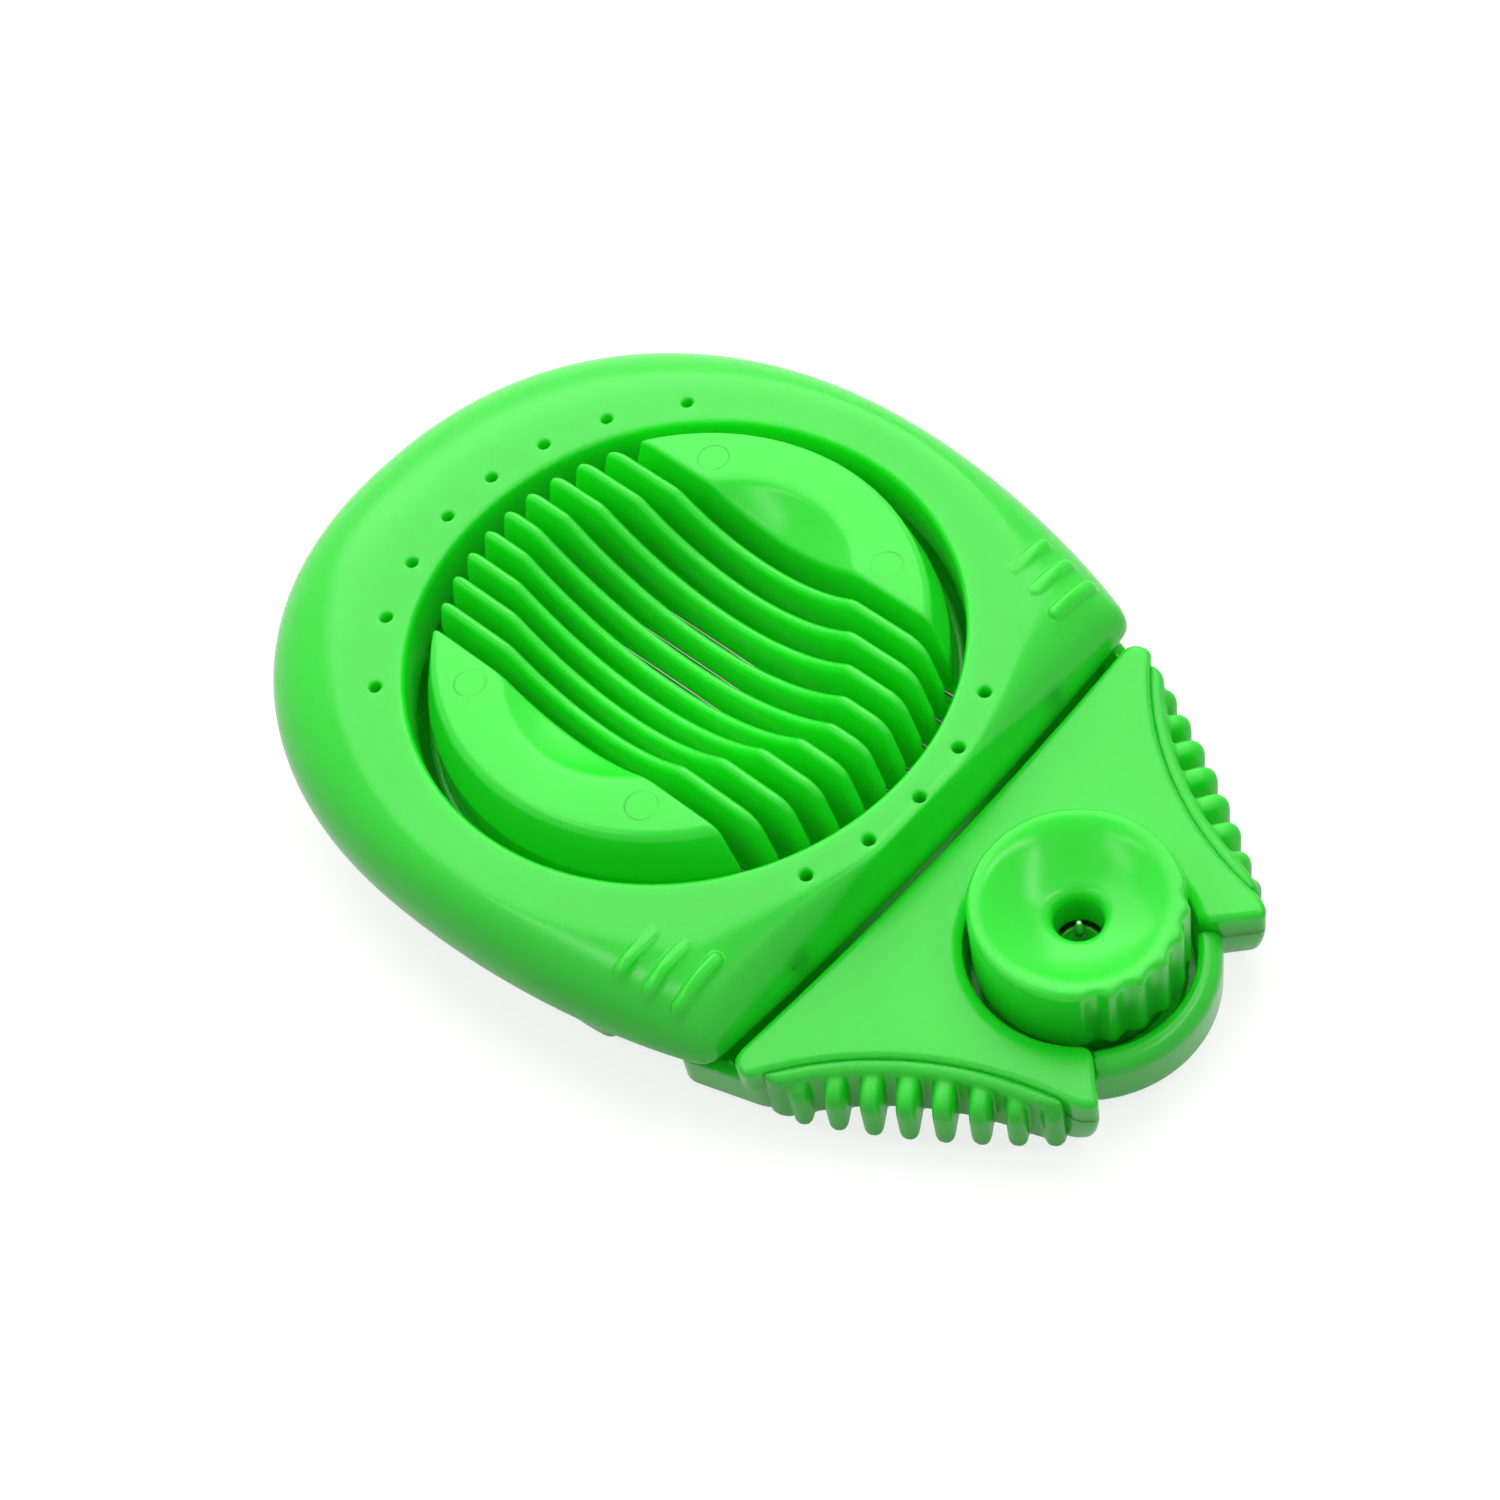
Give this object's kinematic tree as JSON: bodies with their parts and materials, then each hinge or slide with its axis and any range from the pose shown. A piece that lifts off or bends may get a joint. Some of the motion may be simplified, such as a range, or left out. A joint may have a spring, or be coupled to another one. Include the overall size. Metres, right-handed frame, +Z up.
{
  "type": "egg slicer",
  "caption": "Egg-shaped hinged wire frame over a slotted round cradle on a flat base, with side grips and a sprung egg piercer that locks under a twisting knob.",
  "frame": {"origin": "middle of the overall size, on the surface the feet stand on", "axes": "+X from the round wide end towards the piercer knob, +Y across the wires' frame along the hinge, +Z up"},
  "size_m": [0.1421, 0.0974, 0.024],
  "materials": {
    "green_plastic": "glossy moulded plastic",
    "green_soft_grip": "glossy soft-touch moulding",
    "stainless_steel": "drawn stainless wire",
    "screw_steel": "zinc-plated steel",
    "foot_rubber": "soft moulded rubber"
  },
  "bodies": {
    "base": {"base_tray": "green_plastic", "rear_cover": "green_plastic", "egg_cradle": "green_plastic", "side_grip_left": "green_soft_grip", "side_grip_right": "green_soft_grip", "cradle_screws": "screw_steel", "cover_screws": "screw_steel", "needle_holder": "green_plastic", "piercer_needle": "stainless_steel", "foot_rear_left": "foot_rubber", "foot_rear_right": "foot_rubber", "foot_front_left": "foot_rubber", "foot_front_right": "foot_rubber"},
    "wire_lid": {"wire_frame": "green_plastic", "wire_clamp_ring": "green_plastic", "cutting_wire": "stainless_steel", "hinge_pin_left": "stainless_steel", "hinge_pin_right": "stainless_steel"},
    "lock_ring": {"lock_collar": "green_plastic"},
    "knob": {"piercer_knob": "green_plastic", "piercer_spring": "screw_steel"}
  },
  "joints": [
    {"name": "lid_hinge", "type": "hinge", "parent": "base", "child": "wire_lid", "pos_m": [0.0303, 0, 0.0144], "axis": [0, 1, 0], "range_deg": [0, 100]},
    {"name": "lock_twist", "type": "hinge", "parent": "base", "child": "lock_ring", "pos_m": [0.05405, 0, 0.008], "axis": [0, 0, 1], "range_deg": [0, 40]},
    {"name": "knob_press", "type": "slide", "parent": "lock_ring", "child": "knob", "axis": [0, 0, -1], "range_m": [0, 0.004], "stiffness_N_per_m": 500, "springref_m": -0.002, "deforming": ["piercer_spring"]}
  ]
}
